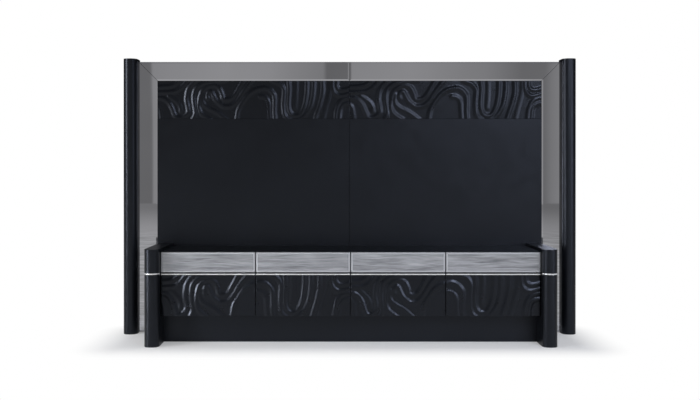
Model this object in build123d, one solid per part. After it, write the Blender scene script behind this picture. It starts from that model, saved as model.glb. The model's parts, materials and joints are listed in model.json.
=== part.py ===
from build123d import *
import os

# Wall unit for a television: a mirrored back wall between two columns, with a low console in front.
# Millimetres. X runs along the wall, Y from the front to the back, Z up.
# The origin is on the floor, in the middle of the length and of the depth.

# Overall sizes
unit_width = 3108.0
wall_height = 1872.0
console_depth = 480.0

# Columns and posts have one profile, hollow, with a flat between two rounded front corners
profile_width = 96.0
nose_flat = 12.0
shell_thickness = 16.0
cap_thickness = 16.0
back_strip_thickness = 12.0
column_projection = 67.0
column_rise = 16.0
column_to_post = 141.5
post_rise = 18.0

# Layers of the wall, from the back to the face
wall_board_thickness = 18.0
packer_thickness = 22.0
mirror_thickness = 5.0
wall_foot_gap = 6.0
mirror_width = 130.0
mirror_bevel_width = 10.0
mirror_bevel_drop = 1.7
mitre_gap = 3.0
frieze_height = 264.0
seam_gap = 2.0
glide_radius = 18.0
glide_place_shares = (0.12, 0.5, 0.88)

# Plates that join the two wall boards, let into their backs, and the screws in them
seam_plate_width = 120.0
seam_plate_height = 60.0
seam_plate_thickness = 3.0
seam_plate_height_shares = (0.15, 0.5, 0.85)
screw_radius = 2.0
screw_length = 14.0
screw_head_radius = 4.0
screw_head_height = 2.0
screw_place_shares = (-0.35, 0.35)

# Threaded inserts in the wall boards, for fixing the unit to a building
insert_radius = 6.0
insert_bore_radius = 4.0
insert_side_distance = 358.0
insert_top_distance = 192.0
insert_low_z = 480.0

# Screws through the columns' inner walls into the wall boards' edges
edge_screw_radius = 2.5
edge_screw_length = 56.0
edge_screw_head_radius = 5.0
edge_screw_head_height = 3.0
edge_screw_height_shares = (0.12, 0.5, 0.88)

# Console boards
board_thickness = 18.0
top_thickness = 22.0
back_thickness = 8.0
plinth_height = 199.0
deck_lap = 4.0
deck_setback = 40.0
cable_duct = 25.0
cable_hole_radius = 30.0
cable_hole_rise = 70.0
plinth_setback = 182.0
plinth_rib_count = 5

# Bolts through the console's sides into the posts, behind the outer flaps
bolt_radius = 3.0
bolt_head_radius = 6.0
bolt_head_height = 3.0
bolt_depth_shares = (0.2, 0.8)
bolt_height_shares = (0.25, 0.8)

# Metal bands let into the posts
band_above_flap = 8.5
band_height = 8.0
band_depth = 3.0

# Fronts
front_setback = 70.0
front_thickness = 24.0
front_gap = 7.0
front_to_carcass = 3.0
front_count = 4
flap_overhang = 12.0
flap_height = 265.0
finger_gap = 17.0
drawer_front_height = 127.0
top_above_fronts = 6.0
glass_thickness = 5.0
glass_bevel_width = 10.0
glass_bevel_drop = 2.0

# Metal finger profile along the top edge of each flap
profile_lip_height = 7.0
profile_lip_thickness = 2.5
profile_base_thickness = 2.0

# Drawer boxes
box_board_thickness = 12.0
box_bottom_thickness = 6.0
box_rise = 8.0
box_head_room = 16.0
box_back_clearance = 13.0

# Telescopic runners: three nested channels each side of a drawer
runner_width = 13.0
runner_height = 45.0
runner_sheet = 1.2
runner_play = 0.4
runner_start = 3.0
runner_mouth = 4.0
middle_web_offset = 4.0
channel_end_gap = 1.0

# Flap hinges
hinge_count = 2
hinge_end_distance = 110.0
hinge_width = 60.0
knuckle_radius = 5.0
knuckle_to_board = 1.0
knuckle_to_front = 1.5
knuckle_to_leaf = 1.0
knuckle_gap = 0.3
moving_knuckle_width = 30.0
leaf_thickness = 2.0
leaf_length = 46.0
neck_tail = 2.5
pin_radius = 2.5
pin_play = 0.05

# Places worked out from the sizes
wall_thickness = wall_board_thickness + packer_thickness + mirror_thickness
unit_depth = console_depth + wall_thickness
nose_radius = (profile_width - nose_flat) / 2
back_y = unit_depth / 2
face_y = back_y - wall_thickness
tip_y = -unit_depth / 2
wall_board_y = back_y - wall_board_thickness
mirror_back_y = face_y + mirror_thickness
wall_side_x = unit_width / 2 - profile_width
mirror_side_x = wall_side_x - mirror_width
column_height = wall_height + column_rise
frieze_high_z = wall_height - mirror_width
frieze_low_z = frieze_high_z - frieze_height

post_outer_x = wall_side_x - column_to_post
post_inner_x = post_outer_x - profile_width
front_y = tip_y + front_setback
front_back_y = front_y + front_thickness
carcass_y = front_back_y + front_to_carcass
back_panel_y = face_y - cable_duct - back_thickness
bay_pitch = 2 * post_inner_x / front_count

bottom_top_z = plinth_height + board_thickness
flap_low_z = plinth_height - flap_overhang
flap_high_z = flap_low_z + flap_height
band_low_z = flap_high_z + band_above_flap
drawer_low_z = flap_high_z + finger_gap
drawer_high_z = drawer_low_z + drawer_front_height
deck_top_z = drawer_low_z + deck_lap
deck_z = deck_top_z - board_thickness
console_top_z = drawer_high_z + top_above_fronts
top_under_z = console_top_z - top_thickness
post_height = console_top_z + post_rise

hinge_axis_y = front_back_y + knuckle_to_front + knuckle_radius
hinge_axis_z = plinth_height - knuckle_to_board - knuckle_radius
leaf_relief = knuckle_radius + knuckle_to_leaf


def save(node, *solids):
    """Write one sub-part, a single solid or a group of separate solids."""
    shape = solids[0] if len(solids) == 1 else Compound(children=list(solids))
    export_step(shape, f"parts/{node}.step")


def block(x, y, z):
    """Box between two places along each axis."""
    centre = [(low + high) / 2 for low, high in (x, y, z)]
    size = [abs(high - low) for low, high in (x, y, z)]
    return Pos(*centre) * Box(*size)


def rod(start, direction, radius, length):
    """Cylinder that starts at a point and runs along a direction."""
    plane = Plane(origin=start, z_dir=direction)
    return plane * Cylinder(radius, length, align=(Align.CENTER, Align.CENTER, Align.MIN))


def mirrored(solid):
    """The same piece on the other side of the unit."""
    return mirror(solid, about=Plane.YZ)


def between(low, high, share):
    """Place at a share of the way from one place to another."""
    return low + (high - low) * share


def nose_outline(centre_x, front, rear, width, radius):
    """Plan outline of a column or post, with both front corners rounded."""
    plate = Pos(centre_x, (front + rear) / 2) * Rectangle(width, rear - front)
    corners = plate.vertices().sort_by(Axis.Y)[:2]
    return fillet(corners, radius)


def raised(outline, low_z, height):
    """Extrude a plan outline up from a height."""
    return Pos(0, 0, low_z) * extrude(outline, height)


def hollow_upright(centre_x, front, rear, height):
    """Bent shell of a column or post, with the caps and back strip that close it."""
    inner_width = profile_width - 2 * shell_thickness
    outer = nose_outline(centre_x, front, rear, profile_width, nose_radius)
    inner = nose_outline(centre_x, front + shell_thickness, rear, inner_width,
                         nose_radius - shell_thickness)
    shell = raised(outer - inner, 0, height)
    foot = raised(inner, 0, cap_thickness)
    cap = raised(inner, height - cap_thickness, cap_thickness)
    strip = block((centre_x - inner_width / 2, centre_x + inner_width / 2),
                  (rear - back_strip_thickness, rear),
                  (cap_thickness, height - cap_thickness))
    return shell, [foot, cap, strip]


def front_face(plate):
    """Front face of a glass plate."""
    return plate.faces().sort_by(Axis.Y)[0]


def bevelled(plate, edges, width, drop):
    """Grind a shallow bevel along some edges of the front face of a glass plate."""
    return chamfer(edges, width, drop, reference=front_face(plate))


def mirror_strip(points):
    """Mirror strip whose mitre and outer edge stay square, from its outline."""
    plate = plate_from_points(points, face_y, mirror_back_y)
    edges = front_face(plate).edges()
    ground = edges.filter_by(Axis.X) + edges.filter_by(Axis.Z).sort_by(Axis.X)[-1:]
    return bevelled(plate, ground, mirror_bevel_width, mirror_bevel_drop)


def plate_from_points(points, front, rear):
    """Upright plate with a straight-sided outline given as X and Z places."""
    corners = [(x, front, z) for x, z in points]
    outline = Face(Wire.make_polygon([Vector(*corner) for corner in corners]))
    return Solid.extrude(outline, Vector(0, rear - front, 0))


def countersunk_screw(start, direction, radius, length, head_radius, head_height):
    """Wood screw whose conical head ends flush at its start."""
    plane = Plane(origin=start, z_dir=direction)
    low = (Align.CENTER, Align.CENTER, Align.MIN)
    head = plane * Cone(head_radius, radius, head_height, align=low)
    return head + rod(start, direction, radius, length)


def headed_screw(start, direction, radius, length, head_radius, head_height):
    """Screw or bolt whose flat head lies before its start."""
    head = rod(start - direction * head_height, direction, head_radius, head_height)
    return head + rod(start, direction, radius, length)


def channel(web_x, flange_side, flange_width, half_height, y, mid_z):
    """Steel channel: an upright web with a flange along its top and one along its bottom."""
    web_end = web_x + flange_side * runner_sheet
    flange_end = web_x + flange_side * flange_width
    low_z = mid_z - half_height
    high_z = mid_z + half_height
    web = block((web_x, web_end), y, (low_z, high_z))
    low_flange = block((web_x, flange_end), y, (low_z, low_z + runner_sheet))
    high_flange = block((web_x, flange_end), y, (high_z - runner_sheet, high_z))
    return web + low_flange + high_flange


# Back wall
def wall_screw_points():
    """Screw places in the plates that join the wall boards."""
    points = []
    for share in seam_plate_height_shares:
        mid_z = between(wall_foot_gap, wall_height, share)
        for across in screw_place_shares:
            for up in screw_place_shares:
                points.append(Vector(across * seam_plate_width, back_y, mid_z + up * seam_plate_height))
    return points


def insert_points():
    """Places of the threaded inserts in the back."""
    half = wall_side_x - insert_side_distance
    heights = (insert_low_z, wall_height - insert_top_distance)
    return [Vector(x, wall_board_y, z) for x in (-half, half) for z in heights]


def build_wall():
    inward = Vector(0, -1, 0)
    outward = Vector(0, 1, 0)
    board_y = (wall_board_y, back_y)
    packer_y = (mirror_back_y, wall_board_y)
    lining_y = (face_y, wall_board_y)
    half_seam = seam_gap / 2

    plates = []
    for share in seam_plate_height_shares:
        mid_z = between(wall_foot_gap, wall_height, share)
        plates.append(block((-seam_plate_width / 2, seam_plate_width / 2),
                            (back_y - seam_plate_thickness, back_y),
                            (mid_z - seam_plate_height / 2, mid_z + seam_plate_height / 2)))
    screws = [countersunk_screw(point, inward, screw_radius, screw_length,
                                screw_head_radius, screw_head_height)
              for point in wall_screw_points()]
    inserts = [rod(point, outward, insert_radius, wall_board_thickness)
               for point in insert_points()]
    edge_screws = []
    for share in edge_screw_height_shares:
        start = Vector(wall_side_x + shell_thickness, (wall_board_y + back_y) / 2,
                       between(wall_foot_gap, wall_height, share))
        screw = headed_screw(start, Vector(-1, 0, 0), edge_screw_radius, edge_screw_length,
                             edge_screw_head_radius, edge_screw_head_height)
        edge_screws += [screw, mirrored(screw)]

    for name, x in (("left", (-wall_side_x, 0)), ("right", (0, wall_side_x))):
        board = block(x, board_y, (wall_foot_gap, wall_height))
        for cutter in plates + screws + inserts + edge_screws:
            board -= cutter
        save(f"wall_board_{name}", board)

    bored = [insert - rod(point, outward, insert_bore_radius, wall_board_thickness)
             for insert, point in zip(inserts, insert_points())]
    drilled = []
    for plate in plates:
        for screw in screws:
            plate -= screw
        drilled.append(plate)
    save("wall_fittings", *drilled, *bored)

    side_packer = block((-wall_side_x, -mirror_side_x), packer_y, (wall_foot_gap, wall_height))
    top_packer = block((-mirror_side_x, 0), packer_y, (frieze_high_z, wall_height))
    save("mirror_packers", side_packer, top_packer, mirrored(side_packer), mirrored(top_packer))

    panel = block((-mirror_side_x, -half_seam), lining_y, (wall_foot_gap, frieze_low_z))
    frieze = block((-mirror_side_x, -half_seam), lining_y, (frieze_low_z, frieze_high_z))
    for name, piece in (("wall_panel", panel), ("frieze", frieze)):
        save(f"{name}_left", piece)
        save(f"{name}_right", mirrored(piece))

    outer_top = (-wall_side_x, wall_height)
    inner_top = (-mirror_side_x, frieze_high_z)
    top_points = [(-wall_side_x + mitre_gap, wall_height), (-half_seam, wall_height),
                  (-half_seam, frieze_high_z), (-mirror_side_x + mitre_gap, frieze_high_z)]
    side_points = [outer_top, inner_top, (-mirror_side_x, wall_foot_gap),
                   (-wall_side_x, wall_foot_gap)]
    for name, points in (("top_mirrors", top_points), ("side_mirrors", side_points)):
        strip = mirror_strip(points)
        save(name, strip, mirrored(strip))

    glides = []
    for share in glide_place_shares:
        foot = Vector(-wall_side_x * share, (mirror_back_y + back_y) / 2, 0)
        glide = rod(foot, Vector(0, 0, 1), glide_radius, wall_foot_gap)
        glides += [glide, mirrored(glide)]
    save("wall_glides", *glides)

    shell, closers = hollow_upright(-(wall_side_x + profile_width / 2),
                                    face_y - column_projection, back_y, column_height)
    foot, cap, strip = closers
    for screw in edge_screws:
        shell -= screw
        strip -= screw
    save("column_left", shell)
    save("column_right", mirrored(shell))
    return [foot, cap, strip], screws + edge_screws


# Console
def front_bounds(number):
    """Left and right edges of one front, counted from the left."""
    left = -post_inner_x + number * bay_pitch
    return left + front_gap / 2, left + bay_pitch - front_gap / 2


def bay_bounds(number):
    """Clear space between the uprights behind one front."""
    left = -post_inner_x + number * bay_pitch
    right = left + bay_pitch
    first = number == 0
    last = number == front_count - 1
    left_face = left + (board_thickness if first else board_thickness / 2)
    right_face = right - (board_thickness if last else board_thickness / 2)
    return left_face, right_face


def console_bolts():
    """Bolts on the left side, from the console into the post."""
    bolts = []
    for along in bolt_depth_shares:
        for up in bolt_height_shares:
            start = Vector(-post_inner_x + board_thickness, between(carcass_y, back_panel_y, along),
                           between(bottom_top_z, deck_z, up))
            bolts.append(headed_screw(start, Vector(-1, 0, 0), bolt_radius,
                                      board_thickness + shell_thickness,
                                      bolt_head_radius, bolt_head_height))
    return bolts


def build_console():
    inside_y = (carcass_y, back_panel_y)
    upright_z = (bottom_top_z, top_under_z)
    bolts = console_bolts()

    save("console_top", block((-post_inner_x, post_inner_x), (carcass_y, face_y),
                              (top_under_z, console_top_z)))
    save("console_bottom", block((-post_inner_x, post_inner_x), inside_y,
                                 (plinth_height, bottom_top_z)))
    side = block((-post_inner_x, -post_inner_x + board_thickness), inside_y, upright_z)
    for bolt in bolts:
        side -= bolt
    save("console_sides", side, mirrored(side))

    partitions = []
    for number in range(1, front_count):
        middle = -post_inner_x + number * bay_pitch
        partitions.append(block((middle - board_thickness / 2, middle + board_thickness / 2),
                                inside_y, upright_z))
    save("console_partitions", *partitions)
    save("drawer_decks", *[block(bay_bounds(number), (carcass_y + deck_setback, back_panel_y),
                                 (deck_z, deck_top_z)) for number in range(front_count)])

    panels = []
    for name_side in (-1, 1):
        panel = block((0, name_side * post_inner_x), (back_panel_y, back_panel_y + back_thickness),
                      (plinth_height, top_under_z))
        for number in range(front_count):
            hole = rod(Vector(sum(bay_bounds(number)) / 2, back_panel_y,
                              bottom_top_z + cable_hole_rise),
                       Vector(0, 1, 0), cable_hole_radius, back_thickness)
            panel -= hole
        panels.append(panel)
    save("console_backs", *panels)

    plinth_y = tip_y + plinth_setback
    rear_y = back_panel_y - board_thickness
    boards = [block((-post_inner_x, post_inner_x), y, (0, plinth_height))
              for y in ((plinth_y, plinth_y + board_thickness), (rear_y, back_panel_y))]
    rib_span = post_inner_x - board_thickness / 2
    for number in range(plinth_rib_count):
        middle = between(-rib_span, rib_span, number / (plinth_rib_count - 1))
        boards.append(block((middle - board_thickness / 2, middle + board_thickness / 2),
                            (plinth_y + board_thickness, rear_y), (0, plinth_height)))
    save("plinth", *boards)

    centre_x = -(post_inner_x + profile_width / 2)
    shell, closers = hollow_upright(centre_x, tip_y, face_y, post_height)
    band = post_band(centre_x)
    shell -= band
    for bolt in bolts:
        shell -= bolt
    save("post_left", shell)
    save("post_right", mirrored(shell))
    save("post_bands", band, mirrored(band))
    return closers, bolts + [mirrored(bolt) for bolt in bolts]


def post_band(centre_x):
    """Band round the left post's nose and along its outer side, flush with the post."""
    outer = nose_outline(centre_x, tip_y, face_y, profile_width, nose_radius)
    core = nose_outline(centre_x, tip_y + band_depth, face_y, profile_width - 2 * band_depth,
                        nose_radius - band_depth)
    inner_side = block((-post_inner_x - band_depth, -post_inner_x), (tip_y + nose_radius, face_y),
                       (band_low_z, band_low_z + band_height))
    return raised(outer - core, band_low_z, band_height) - inner_side


# Drawers
def build_drawer(number):
    front_x = front_bounds(number)
    bay = bay_bounds(number)
    name = f"drawer_{number + 1}"
    glass_y = front_y + glass_thickness
    glass = block(front_x, (front_y, glass_y), (drawer_low_z, drawer_high_z))
    save(f"{name}_glass",
         bevelled(glass, front_face(glass).edges(), glass_bevel_width, glass_bevel_drop))
    save(f"{name}_front", block(front_x, (glass_y, front_back_y), (drawer_low_z, drawer_high_z)))

    outer_x = (bay[0] + runner_width, bay[1] - runner_width)
    inner_x = (outer_x[0] + box_board_thickness, outer_x[1] - box_board_thickness)
    low_z = deck_top_z + box_rise
    high_z = top_under_z - box_head_room
    box_z = (low_z, high_z)
    box_back_y = back_panel_y - box_back_clearance
    inner_y = (front_back_y + box_board_thickness, box_back_y - box_board_thickness)
    save(f"{name}_box",
         block((outer_x[0], inner_x[0]), (front_back_y, box_back_y), box_z),
         block((inner_x[1], outer_x[1]), (front_back_y, box_back_y), box_z),
         block(inner_x, (front_back_y, inner_y[0]), box_z),
         block(inner_x, (inner_y[1], box_back_y), box_z),
         block(inner_x, inner_y, (low_z, low_z + box_bottom_thickness)))

    mid_z = (low_z + high_z) / 2
    runner_start_y = carcass_y + runner_start
    runner_y = (runner_start_y, runner_start_y + box_back_y - front_back_y)
    cabinet_half = runner_height / 2
    middle_half = cabinet_half - runner_sheet - runner_play
    drawer_half = middle_half - runner_sheet - runner_play
    cabinet_flange = runner_width - runner_mouth
    nested_flange = runner_width - middle_web_offset - runner_sheet - channel_end_gap
    fixed, middle, moving = [], [], []
    for wall_x, box_x, inward in ((bay[0], outer_x[0], 1), (bay[1], outer_x[1], -1)):
        fixed.append(channel(wall_x, inward, cabinet_flange, cabinet_half, runner_y, mid_z))
        middle.append(channel(wall_x + inward * middle_web_offset, inward, nested_flange,
                              middle_half, runner_y, mid_z))
        moving.append(channel(box_x, -inward, nested_flange, drawer_half, runner_y, mid_z))
    save(f"{name}_runner_middle", *middle)
    save(f"{name}_runner_inner", *moving)
    return fixed


# Flaps
def hinge_knuckle(start_x, width, bore_radius):
    """One ring of a hinge barrel."""
    start = Vector(start_x, hinge_axis_y, hinge_axis_z)
    along = Vector(1, 0, 0)
    return rod(start, along, knuckle_radius, width) - rod(start, along, bore_radius, width)


def flap_hinge(left_x):
    """Fixed leaf, moving leaf and pin of one hinge, from its left end."""
    right_x = left_x + hinge_width
    end_width = (hinge_width - moving_knuckle_width) / 2 - knuckle_gap
    moving_x = (left_x + end_width + knuckle_gap, right_x - end_width - knuckle_gap)

    leaf_z = (plinth_height - leaf_thickness, plinth_height)
    fixed = block((left_x, right_x), (hinge_axis_y + leaf_relief, hinge_axis_y + leaf_length), leaf_z)
    for start_x in (left_x, right_x - end_width):
        fixed += block((start_x, start_x + end_width),
                       (hinge_axis_y - neck_tail, hinge_axis_y + leaf_relief), leaf_z)
        fixed += hinge_knuckle(start_x, end_width, pin_radius)
        fixed -= rod(Vector(start_x, hinge_axis_y, hinge_axis_z), Vector(1, 0, 0), pin_radius, end_width)

    leaf_y = (front_back_y, front_back_y + leaf_thickness)
    moving = block((left_x, right_x), leaf_y, (hinge_axis_z + leaf_relief, hinge_axis_z + leaf_length))
    moving += block(moving_x, leaf_y, (hinge_axis_z - neck_tail, hinge_axis_z + leaf_relief))
    moving += hinge_knuckle(moving_x[0], moving_x[1] - moving_x[0], pin_radius + pin_play)

    pin = rod(Vector(left_x, hinge_axis_y, hinge_axis_z), Vector(1, 0, 0), pin_radius, hinge_width)
    return fixed, moving, pin


def build_flap(number):
    front_x = front_bounds(number)
    name = f"flap_{number + 1}"
    save(f"{name}_board", block(front_x, (front_y, front_back_y), (flap_low_z, flap_high_z)))
    base = block(front_x, (front_y, front_back_y), (flap_high_z, flap_high_z + profile_base_thickness))
    lip = block(front_x, (front_y, front_y + profile_lip_thickness),
                (flap_high_z, flap_high_z + profile_lip_height))
    save(f"{name}_profile", base + lip)

    fixed, moving = [], []
    first_x = front_x[0] + hinge_end_distance
    last_x = front_x[1] - hinge_end_distance - hinge_width
    for place in range(hinge_count):
        leaf, moving_leaf, pin = flap_hinge(between(first_x, last_x, place / (hinge_count - 1)))
        fixed += [leaf, pin]
        moving.append(moving_leaf)
    save(f"{name}_hinge_leaves", *moving)
    return fixed


os.makedirs("parts", exist_ok=True)
column_closers, wall_screws = build_wall()
post_closers, console_screws = build_console()
left_closers = column_closers + post_closers
save("upright_closers", *left_closers, *[mirrored(piece) for piece in left_closers])
save("assembly_screws", *wall_screws, *console_screws)

cabinet_runners = []
fixed_hinges = []
for number in range(front_count):
    cabinet_runners += build_drawer(number)
    fixed_hinges += build_flap(number)
save("cabinet_runners", *cabinet_runners)
save("flap_hinges", *fixed_hinges)
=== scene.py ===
import json
import math

import bpy
import numpy as np
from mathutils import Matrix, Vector


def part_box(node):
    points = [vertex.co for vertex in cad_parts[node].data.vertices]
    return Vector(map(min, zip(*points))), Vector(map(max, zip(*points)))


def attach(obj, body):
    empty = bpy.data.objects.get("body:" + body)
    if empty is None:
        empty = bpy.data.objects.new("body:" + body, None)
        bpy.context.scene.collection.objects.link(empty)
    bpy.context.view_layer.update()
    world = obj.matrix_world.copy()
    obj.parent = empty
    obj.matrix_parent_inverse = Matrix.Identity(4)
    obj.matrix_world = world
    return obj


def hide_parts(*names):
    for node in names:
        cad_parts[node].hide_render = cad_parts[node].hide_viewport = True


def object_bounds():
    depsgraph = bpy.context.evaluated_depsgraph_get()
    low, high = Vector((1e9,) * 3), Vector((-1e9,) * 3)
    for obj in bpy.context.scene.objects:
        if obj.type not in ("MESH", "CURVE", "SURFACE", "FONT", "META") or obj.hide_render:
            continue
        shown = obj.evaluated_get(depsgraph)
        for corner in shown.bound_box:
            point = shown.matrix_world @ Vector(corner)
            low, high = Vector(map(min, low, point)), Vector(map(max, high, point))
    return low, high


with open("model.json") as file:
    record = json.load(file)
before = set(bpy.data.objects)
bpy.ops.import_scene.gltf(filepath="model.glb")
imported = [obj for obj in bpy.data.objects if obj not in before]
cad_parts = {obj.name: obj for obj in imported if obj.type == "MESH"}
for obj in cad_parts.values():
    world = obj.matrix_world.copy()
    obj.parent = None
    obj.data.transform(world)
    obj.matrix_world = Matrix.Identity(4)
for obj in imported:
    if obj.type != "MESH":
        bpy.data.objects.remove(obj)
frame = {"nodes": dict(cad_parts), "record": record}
cad_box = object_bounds()

# Metres. X runs along the wall, Y from the front to the back, Z up, with the origin on the floor.

# Camera
camera_place = (-0.1024, -5.4396, 1.1247)
camera_turn = (math.pi / 2 - 0.00198, 0.0, 0.00189)
camera_lens_mm = 42.08
camera_sensor_mm = 36.0
camera_shift_x = 0.0241
camera_shift_y = -0.0405

# Light
world_fill = 0.47  # the studio's strength where it only lights the unit
lamps = (
    # name, place, width, height, radiance, beam in degrees, colour, aim
    ("left_edge", (-4.5, -2.0, 2.4), 0.5, 2.0, 24.0, 180, (0.95, 0.96, 1.0), (-1.2, 0.1, 1.5)),
    ("left_low", (-4.7, -2.9, 0.85), 1.0, 1.5, 60.0, 20, (0.92, 0.95, 1.0), (-1.0, -0.2, 0.35)),
    ("left_far", (-4.4, -3.2, 0.8), 1.0, 1.5, 14.0, 40, (0.86, 0.9, 1.0), (1.0, -0.2, 0.5)),
    ("right_high", (2.4, -4.9, 3.6), 1.8, 1.3, 18.0, 60, (0.78, 0.84, 1.0), (0.9, 0.0, 0.5)),
    ("right_side", (4.2, -3.6, 2.0), 2.0, 2.0, 4.2, 34, (0.78, 0.84, 1.0), (1.0, 0.0, 1.3)),
    ("right_low", (3.9, -4.2, 1.3), 2.0, 1.8, 7.0, 34, (0.78, 0.84, 1.0), (0.8, -0.2, 0.35)),
)

# Studio walls as gloss shows them. The ranges are parts of a ray's direction.
front_wall_depth = (-0.93, -0.8)
front_wall_across = (-0.3, 0.3)
front_wall_height = (0.5, 0.7)
side_wall_depth = (-0.15, 0.1)
side_wall_front = (0.12, 0.125, 0.14)
side_wall_back = (0.02, 0.021, 0.024)
# Level of the front wall, along it from the left
front_wall_shares = (
    (0.0, 0.18), (0.1365, 0.172), (0.1395, 0.3), (0.28, 0.36), (0.37, 0.335), (0.479, 0.25),
    (0.482, 0.16), (0.53, 0.17), (0.534, 0.31), (0.65, 0.34), (0.8, 0.265), (0.87, 0.18),
    (0.912, 0.18), (0.926, 0.24), (0.945, 0.28),
)

# Floor, which ends at the studio's walls
floor_half = 21.6
floor_colour = (0.86, 0.86, 0.865, 1.0)
floor_roughness = 0.9
floor_specular = 0.1
# The shaded floor gives way to plain white over this range of distances from the unit's edge
shadow_low = -0.15
shadow_high = 0.33
# In gloss the floor is a grey glow with painted shade: darker far away and past the unit's right end
gloss_range = (3.0, 20.0)
gloss_levels = (0.47, 0.22)
gloss_right_shade_range = (2.6, 3.6)
gloss_right_shade_level = 0.8

# Carved boards
carve_depth = 0.007
ridge_half_width = 0.024
line_steps = 16
join_power = 4  # ridges that meet run together more softly at a lower power
grid_step = 0.002
blur_radius = 0.003
edge_ease = 0.0008

# The same carving lies over each pair of flaps and over each frieze. Its ridge lines are shares of a pair's
# width and height, from the upper left corner, after a share of the full height that the ridge reaches.
ridge_shares = (
    (1.0, ((-0.01, 0.172), (0.0, 0.17), (0.04, 0.155), (0.064, 0.125), (0.08, 0.075), (0.098, -0.02))),
    (1.0, ((-0.01, 0.312), (0.0, 0.31), (0.068, 0.29), (0.093, 0.22), (0.112, 0.125), (0.132, -0.02))),
    (1.0, ((-0.01, 0.445), (0.0, 0.447), (0.02, 0.46), (0.04, 0.52), (0.055, 0.62), (0.0675, 0.79),
           (0.077, 0.92), (0.087, 0.966), (0.106, 0.97), (0.122, 0.91), (0.134, 0.82), (0.133, 0.7),
           (0.127, 0.53), (0.128, 0.38), (0.134, 0.23), (0.147, 0.12), (0.17, -0.02))),
    (0.6, ((-0.01, 0.62), (0.006, 0.66), (0.014, 0.8), (0.018, 1.02))),
    (0.7, ((0.05, 0.4), (0.085, 0.55), (0.1, 0.68), (0.103, 0.8))),
    (1.0, ((0.32, -0.02), (0.3, 0.0), (0.26, 0.03), (0.217, 0.057), (0.19, 0.118), (0.1675, 0.225),
           (0.159, 0.378), (0.159, 0.53), (0.164, 0.71), (0.166, 0.87), (0.154, 1.02))),
    (1.0, ((0.242, 1.02), (0.213, 0.928), (0.193, 0.83), (0.184, 0.68), (0.186, 0.55), (0.191, 0.42),
           (0.2, 0.286), (0.214, 0.21), (0.237, 0.14), (0.263, 0.12), (0.281, 0.167), (0.291, 0.225),
           (0.302, 0.36), (0.306, 0.455), (0.316, 0.49), (0.343, 0.475), (0.3625, 0.39), (0.376, 0.286),
           (0.389, 0.164), (0.411, -0.02))),
    (0.8, ((0.208, 0.36), (0.203, 0.5), (0.2075, 0.6), (0.2165, 0.66), (0.24, 0.74), (0.27, 0.813),
           (0.293, 0.89), (0.314, 0.974), (0.325, 1.02))),
    (1.0, ((0.229, 0.45), (0.228, 0.36), (0.238, 0.29), (0.249, 0.3), (0.2625, 0.439), (0.2755, 0.54),
           (0.294, 0.615), (0.312, 0.676), (0.343, 0.668), (0.366, 0.59), (0.386, 0.47), (0.412, 0.271),
           (0.448, 0.057), (0.461, -0.02))),
    (1.0, ((0.375, 1.02), (0.3825, 0.79), (0.3955, 0.6375), (0.4155, 0.5), (0.4385, 0.37), (0.465, 0.278),
           (0.488, 0.225), (0.509, 0.205), (0.534, 0.19), (0.559, 0.23), (0.575, 0.3), (0.586, 0.38),
           (0.59, 0.56), (0.588, 0.8), (0.592, 1.02))),
    (0.7, ((0.505, 0.41), (0.53, 0.43), (0.548, 0.5), (0.556, 0.62), (0.558, 0.8), (0.562, 1.02))),
    (1.0, ((0.57, -0.02), (0.585, 0.02), (0.608, 0.06), (0.626, 0.15), (0.634, 0.26), (0.632, 0.45),
           (0.63, 0.65), (0.634, 0.85), (0.644, 0.96), (0.66, 1.02))),
    (1.0, ((0.656, -0.02), (0.656, 0.06), (0.658, 0.225), (0.656, 0.4), (0.654, 0.55), (0.655, 0.7),
           (0.662, 0.82), (0.676, 0.9), (0.695, 0.925), (0.714, 0.9), (0.731, 0.8), (0.745, 0.64),
           (0.753, 0.46), (0.757, 0.3), (0.759, -0.02))),
    (0.6, ((0.697, -0.02), (0.697, 0.25), (0.694, 0.5), (0.69, 0.7))),
    (1.0, ((0.792, -0.02), (0.794, 0.057), (0.793, 0.25), (0.786, 0.5), (0.776, 0.68), (0.758, 0.84),
           (0.735, 0.96), (0.71, 1.02))),
    (1.0, ((0.838, -0.02), (0.839, 0.07), (0.839, 0.3), (0.8305, 0.5), (0.8205, 0.683), (0.8075, 0.867),
           (0.799, 1.02))),
    (0.6, ((0.885, -0.02), (0.884, 0.25), (0.875, 0.45), (0.862, 0.65), (0.85, 0.85), (0.842, 1.02))),
    (1.0, ((0.899, -0.02), (0.899, 0.1), (0.903, 0.225), (0.9165, 0.335), (0.94, 0.393), (0.968, 0.38),
           (1.0, 0.335), (1.01, 0.33))),
    (0.9, ((0.925, -0.02), (0.923, 0.12), (0.933, 0.21), (0.953, 0.245), (0.978, 0.235), (1.0, 0.205),
           (1.01, 0.2))),
    (1.0, ((0.9165, 1.02), (0.92, 0.836), (0.9265, 0.714), (0.936, 0.607), (0.953, 0.515), (0.969, 0.475),
           (1.0, 0.445), (1.01, 0.44))),
    (0.9, ((0.938, 1.02), (0.945, 0.75), (0.965, 0.62), (1.0, 0.58), (1.01, 0.575))),
)
# On a frieze the lines lie a little further along than on a pair of flaps
pair_place_shares = (-0.01, 0.0, 0.16, 0.4, 0.59, 0.66, 0.76, 0.84, 1.0, 1.01)
frieze_place_shares = (-0.012, 0.0, 0.19, 0.438, 0.611, 0.689, 0.78, 0.862, 1.0, 1.01)


# Node materials
def new_material(name):
    """Material with its nodes, its links and its main shader."""
    material = bpy.data.materials.new(name)
    material.use_nodes = True
    nodes = material.node_tree.nodes
    return material, nodes, material.node_tree.links, nodes["Principled BSDF"]


def placed(nodes, links, scale):
    """Object coordinates stretched along each axis."""
    place = nodes.new("ShaderNodeTexCoord")
    mapping = nodes.new("ShaderNodeMapping")
    mapping.inputs["Scale"].default_value = scale
    links.new(place.outputs["Object"], mapping.inputs["Vector"])
    return mapping.outputs["Vector"]


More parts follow.
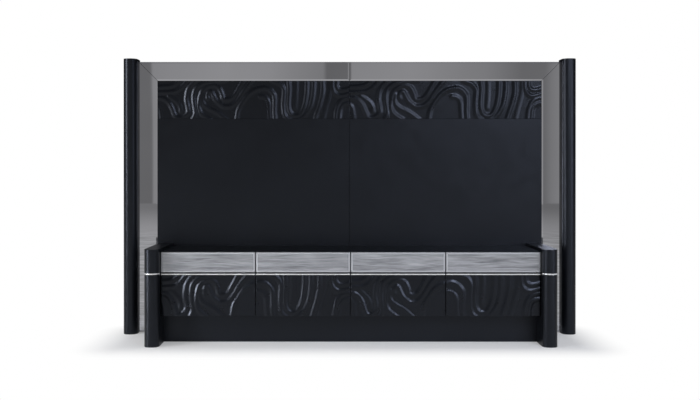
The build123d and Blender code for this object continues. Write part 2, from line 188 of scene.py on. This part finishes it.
def waved(nodes, links, scale, waves, rise):
    """Stretched coordinates whose level lines rise and fall a little."""
    place = nodes.new("ShaderNodeTexCoord").outputs["Object"]
    lift = nodes.new("ShaderNodeCombineXYZ")
    swell = math_node(nodes, links, "SUBTRACT", noise(nodes, links, place, waves, 2.0), 0.5)
    links.new(math_node(nodes, links, "MULTIPLY", swell, rise), lift.inputs["Z"])
    moved = nodes.new("ShaderNodeVectorMath")
    links.new(place, moved.inputs[0])
    links.new(lift.outputs["Vector"], moved.inputs[1])
    mapping = nodes.new("ShaderNodeMapping")
    mapping.inputs["Scale"].default_value = scale
    links.new(moved.outputs["Vector"], mapping.inputs["Vector"])
    return mapping.outputs["Vector"]


def noise(nodes, links, vector, scale, detail=4.0, roughness=0.5):
    """Noise value over a place."""
    texture = nodes.new("ShaderNodeTexNoise")
    texture.inputs["Scale"].default_value = scale
    texture.inputs["Detail"].default_value = detail
    texture.inputs["Roughness"].default_value = roughness
    links.new(vector, texture.inputs["Vector"])
    return texture.outputs["Fac"]


def ramp(nodes, links, value, stops):
    """Colour that follows a value through a few stops."""
    node = nodes.new("ShaderNodeValToRGB")
    elements = node.color_ramp.elements
    while len(elements) < len(stops):
        elements.new(0.5)
    for element, (place, colour) in zip(elements, stops):
        element.position = place
        element.color = (*colour, 1.0)
    links.new(value, node.inputs["Fac"])
    return node.outputs["Color"]


def spread(nodes, links, value, low, high, low_to, high_to):
    """Value moved from one range to another, smooth at both ends."""
    node = nodes.new("ShaderNodeMapRange")
    node.interpolation_type = "SMOOTHSTEP"
    for name, number in (("From Min", low), ("From Max", high), ("To Min", low_to), ("To Max", high_to)):
        node.inputs[name].default_value = number
    links.new(value, node.inputs["Value"])
    return node.outputs["Result"]


def spread_evenly(nodes, links, value, low, high):
    """Value moved from a range to the range from 0 to 1."""
    node = nodes.new("ShaderNodeMapRange")
    node.inputs["From Min"].default_value = low
    node.inputs["From Max"].default_value = high
    links.new(value, node.inputs["Value"])
    return node.outputs["Result"]


def math_node(nodes, links, operation, first, second=None):
    """Sum, product or other operation on values or numbers."""
    node = nodes.new("ShaderNodeMath")
    node.operation = operation
    for place, value in enumerate((first, second)):
        if value is None:
            continue
        if isinstance(value, (int, float)):
            node.inputs[place].default_value = value
        else:
            links.new(value, node.inputs[place])
    return node.outputs["Value"]


def bump(nodes, links, shader, height, strength, distance):
    """Small relief from a value."""
    node = nodes.new("ShaderNodeBump")
    node.inputs["Strength"].default_value = strength
    node.inputs["Distance"].default_value = distance
    links.new(height, node.inputs["Height"])
    links.new(node.outputs["Normal"], shader.inputs["Normal"])


def lacquer(name, rough_low, rough_high, peel):
    """Near-black blue lacquer, satin, with a faint orange peel."""
    material, nodes, links, shader = new_material(name)
    place = placed(nodes, links, (1.0, 1.0, 1.0))
    clouds = noise(nodes, links, place, 3.0, 3.0)
    links.new(ramp(nodes, links, clouds, ((0.3, (0.0024, 0.0028, 0.0038)), (0.7, (0.0034, 0.004, 0.0054)))),
              shader.inputs["Base Color"])
    wear = noise(nodes, links, place, 16.0, 5.0)
    links.new(spread(nodes, links, wear, 0.3, 0.7, rough_low, rough_high), shader.inputs["Roughness"])
    bump(nodes, links, shader, noise(nodes, links, place, 420.0, 2.0), peel, 0.0004)
    shader.inputs["Specular IOR Level"].default_value = 0.42
    shader.inputs["Specular Tint"].default_value = (0.8, 0.86, 1.0, 1.0)
    return material


def smoked_mirror():
    """Smoked mirror with faint waves; its lower part carries level streaks painted into its colour, a
    painted reflection of the floor in front.
    """
    material, nodes, links, shader = new_material("smoked_mirror")
    place = placed(nodes, links, (1.0, 1.0, 1.0))
    clouds = noise(nodes, links, place, 2.2, 2.0)
    tone = ramp(nodes, links, clouds, ((0.3, (0.69, 0.69, 0.725)), (0.7, (0.73, 0.73, 0.77))))
    # Level streaks painted into the colour of the lower part: a painted reflection of the floor in front.
    streaks = noise(nodes, links, waved(nodes, links, (6.0, 6.0, 80.0), 3.0, 0.03), 1.0, 5.0, 0.6)
    streak_colour = ramp(nodes, links, streaks, ((0.35, (0.52, 0.525, 0.55)), (0.65, (0.74, 0.745, 0.78))))
    height = nodes.new("ShaderNodeSeparateXYZ")
    links.new(place, height.inputs["Vector"])
    painted_reflection_share = spread(nodes, links, height.outputs["Z"], 0.62, 0.74, 1.0, 0.0)
    mix = nodes.new("ShaderNodeMix")
    mix.data_type = "RGBA"
    links.new(painted_reflection_share, mix.inputs["Factor"])
    links.new(tone, mix.inputs["A"])
    links.new(streak_colour, mix.inputs["B"])
    links.new(mix.outputs["Result"], shader.inputs["Base Color"])
    shader.inputs["Metallic"].default_value = 1.0
    links.new(spread(nodes, links, clouds, 0.3, 0.7, 0.01, 0.02), shader.inputs["Roughness"])
    bump(nodes, links, shader, noise(nodes, links, place, 5.0, 1.0), 0.01, 0.001)
    return material


def streaked_mirror():
    """Smoked mirror glass with a print of fine level streaks and a paler bevel: partly the frosted edge's
    own tone, partly a painted highlight along the edge.
    """
    material, nodes, links, shader = new_material("streaked_mirror")
    fine = noise(nodes, links, waved(nodes, links, (6.0, 6.0, 110.0), 3.0, 0.05), 1.0, 6.0, 0.62)
    broad = noise(nodes, links, waved(nodes, links, (4.0, 4.0, 45.0), 2.0, 0.08), 1.0, 3.0, 0.5)
    both = math_node(nodes, links, "ADD", math_node(nodes, links, "MULTIPLY", fine, 0.6),
                     math_node(nodes, links, "MULTIPLY", broad, 0.4))
    streak_colour = ramp(nodes, links, both, ((0.36, (0.25, 0.256, 0.275)), (0.5, (0.45, 0.458, 0.485)),
                                        (0.64, (0.66, 0.67, 0.71))))
    face = nodes.new("ShaderNodeTexCoord")
    turned = nodes.new("ShaderNodeSeparateXYZ")
    links.new(face.outputs["Normal"], turned.inputs["Vector"])
    # Bevel faces turn pale and less metallic: partly the frosted edge's own tone, partly a painted
    # highlight along the edge.
    ground_and_highlight = spread(nodes, links, math_node(nodes, links, "ABSOLUTE", turned.outputs["Y"]),
                    0.984, 0.996, 1.0, 0.0)
    mix = nodes.new("ShaderNodeMix")
    mix.data_type = "RGBA"
    links.new(ground_and_highlight, mix.inputs["Factor"])
    links.new(streak_colour, mix.inputs["A"])
    mix.inputs["B"].default_value = (0.46, 0.465, 0.48, 1.0)
    links.new(mix.outputs["Result"], shader.inputs["Base Color"])
    links.new(spread(nodes, links, ground_and_highlight, 0.0, 1.0, 0.7, 0.25), shader.inputs["Metallic"])
    links.new(spread(nodes, links, both, 0.35, 0.65, 0.16, 0.1), shader.inputs["Roughness"])
    bump(nodes, links, shader, fine, 0.02, 0.0005)
    return material


def nickel():
    """Polished nickel with fine lines along its length; only partly metallic, so its pale colour also shows
    as a painted sheen.
    """
    material, nodes, links, shader = new_material("polished_nickel")
    lines = noise(nodes, links, placed(nodes, links, (6.0, 6.0, 700.0)), 1.0, 3.0)
    # Pale colour on a part-metallic finish: the diffuse share is a painted sheen that keeps the strips
    # bright whatever they reflect.
    links.new(ramp(nodes, links, lines, ((0.3, (0.86, 0.86, 0.85)), (0.7, (0.94, 0.94, 0.93)))),
              shader.inputs["Base Color"])
    shader.inputs["Metallic"].default_value = 0.55
    links.new(spread(nodes, links, lines, 0.3, 0.7, 0.16, 0.26), shader.inputs["Roughness"])
    bump(nodes, links, shader, lines, 0.03, 0.0002)
    return material


def backing_board():
    """Dark melamine board with a fine leather-like grain."""
    material, nodes, links, shader = new_material("backing_board")
    place = placed(nodes, links, (1.0, 1.0, 1.0))
    clouds = noise(nodes, links, place, 6.0, 4.0)
    links.new(ramp(nodes, links, clouds, ((0.3, (0.016, 0.017, 0.019)), (0.7, (0.025, 0.026, 0.029)))),
              shader.inputs["Base Color"])
    grain = noise(nodes, links, place, 260.0, 3.0)
    links.new(spread(nodes, links, grain, 0.3, 0.7, 0.5, 0.66), shader.inputs["Roughness"])
    bump(nodes, links, shader, grain, 0.12, 0.0004)
    return material


def drawer_board():
    """Grey melamine with a printed wood grain along the board."""
    material, nodes, links, shader = new_material("drawer_box")
    grain = noise(nodes, links, placed(nodes, links, (14.0, 2.0, 60.0)), 1.0, 6.0, 0.6)
    links.new(ramp(nodes, links, grain, ((0.32, (0.06, 0.058, 0.056)), (0.5, (0.09, 0.088, 0.085)),
                                         (0.68, (0.125, 0.122, 0.118)))), shader.inputs["Base Color"])
    links.new(spread(nodes, links, grain, 0.3, 0.7, 0.42, 0.56), shader.inputs["Roughness"])
    bump(nodes, links, shader, grain, 0.06, 0.0004)
    return material


def zinc_steel():
    """Zinc-plated sheet with a fine rolled grain."""
    material, nodes, links, shader = new_material("zinc_steel")
    place = placed(nodes, links, (1.0, 1.0, 1.0))
    clouds = noise(nodes, links, place, 30.0, 4.0)
    links.new(ramp(nodes, links, clouds, ((0.3, (0.47, 0.48, 0.5)), (0.7, (0.6, 0.61, 0.63)))),
              shader.inputs["Base Color"])
    shader.inputs["Metallic"].default_value = 1.0
    rolled = noise(nodes, links, placed(nodes, links, (400.0, 8.0, 400.0)), 1.0, 2.0)
    links.new(spread(nodes, links, rolled, 0.3, 0.7, 0.28, 0.42), shader.inputs["Roughness"])
    bump(nodes, links, shader, rolled, 0.05, 0.0002)
    return material


def glide_plastic():
    """Matt black moulded plastic."""
    material, nodes, links, shader = new_material("glide_plastic")
    grain = noise(nodes, links, placed(nodes, links, (1.0, 1.0, 1.0)), 500.0, 2.0)
    links.new(ramp(nodes, links, grain, ((0.3, (0.024, 0.024, 0.025)), (0.7, (0.034, 0.034, 0.035)))),
              shader.inputs["Base Color"])
    links.new(spread(nodes, links, grain, 0.3, 0.7, 0.55, 0.68), shader.inputs["Roughness"])
    bump(nodes, links, shader, grain, 0.1, 0.0003)
    return material


finishes = {
    "lacquer": lacquer("lacquer", 0.32, 0.38, 0.04),
    "carved_lacquer": lacquer("carved_lacquer", 0.27, 0.32, 0.03),
    "smoked_mirror": smoked_mirror(),
    "streaked_mirror": streaked_mirror(),
    "polished_nickel": nickel(),
    "backing_board": backing_board(),
    "front_board": lacquer("front_board", 0.34, 0.4, 0.04),
    "drawer_box": drawer_board(),
    "zinc_steel": zinc_steel(),
    "glide_plastic": glide_plastic(),
}


def finish_cad_nodes():
    """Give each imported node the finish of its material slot."""
    for part in frame["record"]["subparts"]:
        for slot in frame["nodes"][part["node"]].material_slots:
            slot.material = finishes[part["material_slot"]]


# Carved boards
def smooth_line(points):
    """Points along a smooth curve through the given points."""
    points = np.array(points)
    padded = np.vstack([2 * points[0] - points[1], points, 2 * points[-1] - points[-2]])
    along = np.linspace(0, 1, line_steps, endpoint=False)[:, None]
    spans = []
    for before, start, end, after in zip(padded, padded[1:], padded[2:], padded[3:]):
        spans.append(0.5 * (2 * start + (end - before) * along
                            + (2 * before - 5 * start + 4 * end - after) * along ** 2
                            + (3 * start - before - 3 * end + after) * along ** 3))
    return np.vstack(spans + [points[-1:]])


def distance_to_line(across, down, line, reach):
    """Least distance of each grid point from a line of short straight steps, up to a reach."""
    least = np.full((len(down), len(across)), reach)
    for (x0, z0), (x1, z1) in zip(line, line[1:]):
        columns = slice(*np.searchsorted(across, (min(x0, x1) - reach, max(x0, x1) + reach)))
        rows = slice(*np.searchsorted(down, (min(z0, z1) - reach, max(z0, z1) + reach)))
        x = across[None, columns] - x0
        z = down[rows, None] - z0
        dx, dz = x1 - x0, z1 - z0
        share = np.clip((x * dx + z * dz) / (dx * dx + dz * dz), 0, 1)
        near = np.hypot(x - share * dx, z - share * dz)
        least[rows, columns] = np.minimum(least[rows, columns], near)
    return least


def blurred(height, step):
    """Height map softened with a bell-shaped average."""
    reach = int(math.ceil(3 * blur_radius / step))
    offsets = np.arange(-reach, reach + 1) * step
    weights = np.exp(-0.5 * (offsets / blur_radius) ** 2)
    weights /= weights.sum()
    for axis in (0, 1):
        pad = [(reach, reach) if a == axis else (0, 0) for a in (0, 1)]
        wide = np.pad(height, pad, mode="edge")
        height = np.apply_along_axis(np.convolve, axis, wide, weights, mode="valid")
    return height


def carving(width, height, place_of):
    """Height map of the ridges over a panel, from 0 in the valleys to 1."""
    columns = int(round(width / grid_step)) + 1
    rows = int(round(height / grid_step)) + 1
    across = np.linspace(0, width, columns)
    down = np.linspace(0, height, rows)
    total = np.zeros((rows, columns))
    for level, points in ridge_shares:
        line = smooth_line([(place_of(u) * width, v * height) for u, v in points])
        near = distance_to_line(across, down, line, ridge_half_width) / ridge_half_width
        total += (level * (1 + np.cos(np.pi * near)) / 2) ** join_power
    return blurred(total ** (1 / join_power), width / (columns - 1))


def carved_board(name, node, body, heights):
    """Closed board with a carved front, in the place of the CAD's flat one."""
    low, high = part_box(node)
    rows, columns = heights.shape
    x = np.linspace(low.x, high.x, columns)
    z = np.linspace(high.z, low.z, rows)
    y = low.y + carve_depth * (1 - heights)
    y[[0, -1], :] += edge_ease
    y[:, [0, -1]] += edge_ease
    front = np.stack([np.broadcast_to(x, y.shape), y, np.broadcast_to(z[:, None], y.shape)], axis=-1)
    index = np.arange(rows * columns).reshape(rows, columns)
    rim = np.concatenate([index[0, :-1], index[:-1, -1], index[-1, :0:-1], index[:0:-1, 0]])
    vertices = front.reshape(-1, 3)
    back = vertices[rim].copy()
    back[:, 1] = high.y
    back_index = np.arange(len(rim)) + rows * columns
    faces = [(int(a), int(b), int(c), int(d)) for a, b, c, d in
             zip(index[:-1, :-1].ravel(), index[1:, :-1].ravel(), index[1:, 1:].ravel(),
                 index[:-1, 1:].ravel())]
    smooth = len(faces)
    for place in range(len(rim)):
        after = (place + 1) % len(rim)
        faces.append((int(rim[place]), int(rim[after]), int(back_index[after]), int(back_index[place])))
    faces.append(tuple(int(i) for i in back_index))
    mesh = bpy.data.meshes.new(name)
    mesh.from_pydata(np.vstack([vertices, back]).tolist(), [], faces)
    mesh.validate()
    mesh.polygons.foreach_set("use_smooth", [i < smooth for i in range(len(mesh.polygons))])
    mesh.materials.append(finishes["carved_lacquer"])
    board = bpy.data.objects.new(name, mesh)
    bpy.context.scene.collection.objects.link(board)
    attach(board, body)
    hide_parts(node)


def build_friezes():
    """Both friezes carry the whole carving."""
    low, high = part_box("frieze_left")
    heights = carving(high.x - low.x, high.z - low.z,
                      lambda share: np.interp(share, pair_place_shares, frieze_place_shares))
    for side in ("left", "right"):
        carved_board(f"carved_frieze_{side}", f"frieze_{side}", "cabinet", heights)


def build_flaps():
    """Each pair of flaps shares the carving, across the gap between them."""
    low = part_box("flap_1_board")[0]
    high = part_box("flap_2_board")[1]
    board_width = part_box("flap_1_board")[1].x - low.x
    heights = carving(high.x - low.x, high.z - low.z, lambda share: share)
    step = (high.x - low.x) / (heights.shape[1] - 1)
    columns = int(round(board_width / step)) + 1
    for number in range(1, 5):
        half = heights[:, :columns] if number % 2 else heights[:, -columns:]
        carved_board(f"carved_flap_{number}", f"flap_{number}_board", f"flap_{number}", half)


# Stage, light and camera
def ray_kind(nodes, links):
    """1 for rays that show the background: seen directly, in gloss or through glass."""
    path = nodes.new("ShaderNodeLightPath")
    seen = math_node(nodes, links, "ADD", path.outputs["Is Camera Ray"], path.outputs["Is Glossy Ray"])
    return math_node(nodes, links, "MINIMUM",
                     math_node(nodes, links, "ADD", seen, path.outputs["Is Transmission Ray"]), 1.0)


def build_floor():
    """Pale floor that keeps the unit's contact shadow and turns plain white further out; in gloss a grey
    glow, with painted shade far out and past the unit's right end.
    """
    mesh = bpy.data.meshes.new("floor")
    corners = [(-floor_half, -floor_half, 0), (floor_half, -floor_half, 0),
               (floor_half, floor_half, 0), (-floor_half, floor_half, 0)]
    mesh.from_pydata(corners, [], [(0, 1, 2, 3)])
    floor = bpy.data.objects.new("floor", mesh)
    bpy.context.scene.collection.objects.link(floor)

    material, nodes, links, shader = new_material("floor")
    shader.inputs["Base Color"].default_value = floor_colour
    shader.inputs["Roughness"].default_value = floor_roughness
    shader.inputs["Specular IOR Level"].default_value = floor_specular
    place = nodes.new("ShaderNodeTexCoord")
    parts = nodes.new("ShaderNodeSeparateXYZ")
    links.new(place.outputs["Object"], parts.inputs["Vector"])
    squares = []
    for axis, half in (("X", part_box("top_mirrors")[1].x), ("Y", cad_box[1].y)):
        away = math_node(nodes, links, "SUBTRACT",
                         math_node(nodes, links, "ABSOLUTE", parts.outputs[axis]), half)
        away = math_node(nodes, links, "MAXIMUM", away, 0.0)
        squares.append(math_node(nodes, links, "MULTIPLY", away, away))
    away = math_node(nodes, links, "SQRT", math_node(nodes, links, "ADD", *squares))
    near = spread(nodes, links, away, shadow_low, shadow_high, 0.0, 1.0)
    # Painted shade on the floor's glow in gloss: darker with distance and past the unit's right end.
    gloss_painted_shade = math_node(nodes, links, "MULTIPLY", spread(nodes, links, away, *gloss_range, *gloss_levels),
                    spread(nodes, links, parts.outputs["X"], *gloss_right_shade_range, 1.0, gloss_right_shade_level))
    path = nodes.new("ShaderNodeLightPath")
    camera = path.outputs["Is Camera Ray"]
    gloss = path.outputs["Is Glossy Ray"]
    share = math_node(nodes, links, "MULTIPLY", near, math_node(nodes, links, "ADD", camera, gloss))
    glow = nodes.new("ShaderNodeEmission")
    links.new(math_node(nodes, links, "ADD", camera, math_node(nodes, links, "MULTIPLY", gloss, gloss_painted_shade)),
              glow.inputs["Strength"])
    mix = nodes.new("ShaderNodeMixShader")
    links.new(share, mix.inputs["Fac"])
    links.new(shader.outputs["BSDF"], mix.inputs[1])
    links.new(glow.outputs["Emission"], mix.inputs[2])
    links.new(mix.outputs["Shader"], nodes["Material Output"].inputs["Surface"])
    mesh.materials.append(material)


def build_world():
    """Studio that is white to the camera and, in gloss, a set of grey walls."""
    world = bpy.data.worlds.new("studio")
    bpy.context.scene.world = world
    world.use_nodes = True
    nodes = world.node_tree.nodes
    links = world.node_tree.links
    background = nodes["Background"]
    place = nodes.new("ShaderNodeTexCoord")
    parts = nodes.new("ShaderNodeSeparateXYZ")
    links.new(place.outputs["Generated"], parts.inputs["Vector"])
    across = spread_evenly(nodes, links, parts.outputs["X"], *front_wall_across)
    wall = ramp(nodes, links, across, tuple((share, (level,) * 3) for share, level in front_wall_shares))
    level = nodes.new("ShaderNodeMix")
    level.data_type = "RGBA"
    front = spread(nodes, links, parts.outputs["Y"], *front_wall_depth, 1.0, 0.0)
    lower = spread(nodes, links, parts.outputs["Z"], *front_wall_height, 1.0, 0.0)
    links.new(math_node(nodes, links, "MULTIPLY", front, lower), level.inputs["Factor"])
    side = ramp(nodes, links, spread(nodes, links, parts.outputs["Y"], *side_wall_depth, 0.0, 1.0),
                ((0.0, side_wall_front), (1.0, side_wall_back)))
    links.new(side, level.inputs["A"])
    links.new(wall, level.inputs["B"])

    path = nodes.new("ShaderNodeLightPath")
    seen = nodes.new("ShaderNodeMix")
    seen.data_type = "RGBA"
    links.new(path.outputs["Is Glossy Ray"], seen.inputs["Factor"])
    seen.inputs["A"].default_value = (1.0, 1.0, 1.0, 1.0)
    links.new(level.outputs["Result"], seen.inputs["B"])
    links.new(seen.outputs["Result"], background.inputs["Color"])
    strength = nodes.new("ShaderNodeMapRange")
    strength.inputs["To Min"].default_value = world_fill
    links.new(ray_kind(nodes, links), strength.inputs["Value"])
    links.new(strength.outputs["Result"], background.inputs["Strength"])


def build_lamp(name, place, width, height, radiance, beam, colour, aim):
    """Rectangular lamp that faces a place on the unit."""
    lamp = bpy.data.lights.new(name, "AREA")
    lamp.color = colour
    lamp.spread = math.radians(beam)
    lamp.shape = "RECTANGLE"
    lamp.size = width
    lamp.size_y = height
    half_beam = math.radians(beam) / 2
    lamp.energy = radiance * math.pi * width * height * (1 - half_beam / math.tan(half_beam))
    holder = bpy.data.objects.new(name, lamp)
    holder.location = place
    holder.rotation_euler = (Vector(place) - Vector(aim)).to_track_quat("Z", "Y").to_euler()
    bpy.context.scene.collection.objects.link(holder)


def build_camera():
    """Camera of the photograph, almost square on and a little left of the middle."""
    data = bpy.data.cameras.new("camera")
    data.lens = camera_lens_mm
    data.sensor_width = camera_sensor_mm
    data.shift_x = camera_shift_x
    data.shift_y = camera_shift_y
    camera = bpy.data.objects.new("camera", data)
    camera.location = camera_place
    camera.rotation_euler = camera_turn
    bpy.context.scene.collection.objects.link(camera)
    bpy.context.scene.camera = camera


bpy.context.scene.view_settings.view_transform = "Standard"
finish_cad_nodes()
build_friezes()
build_flaps()
build_floor()
build_world()
for lamp in lamps:
    build_lamp(*lamp)
build_camera()
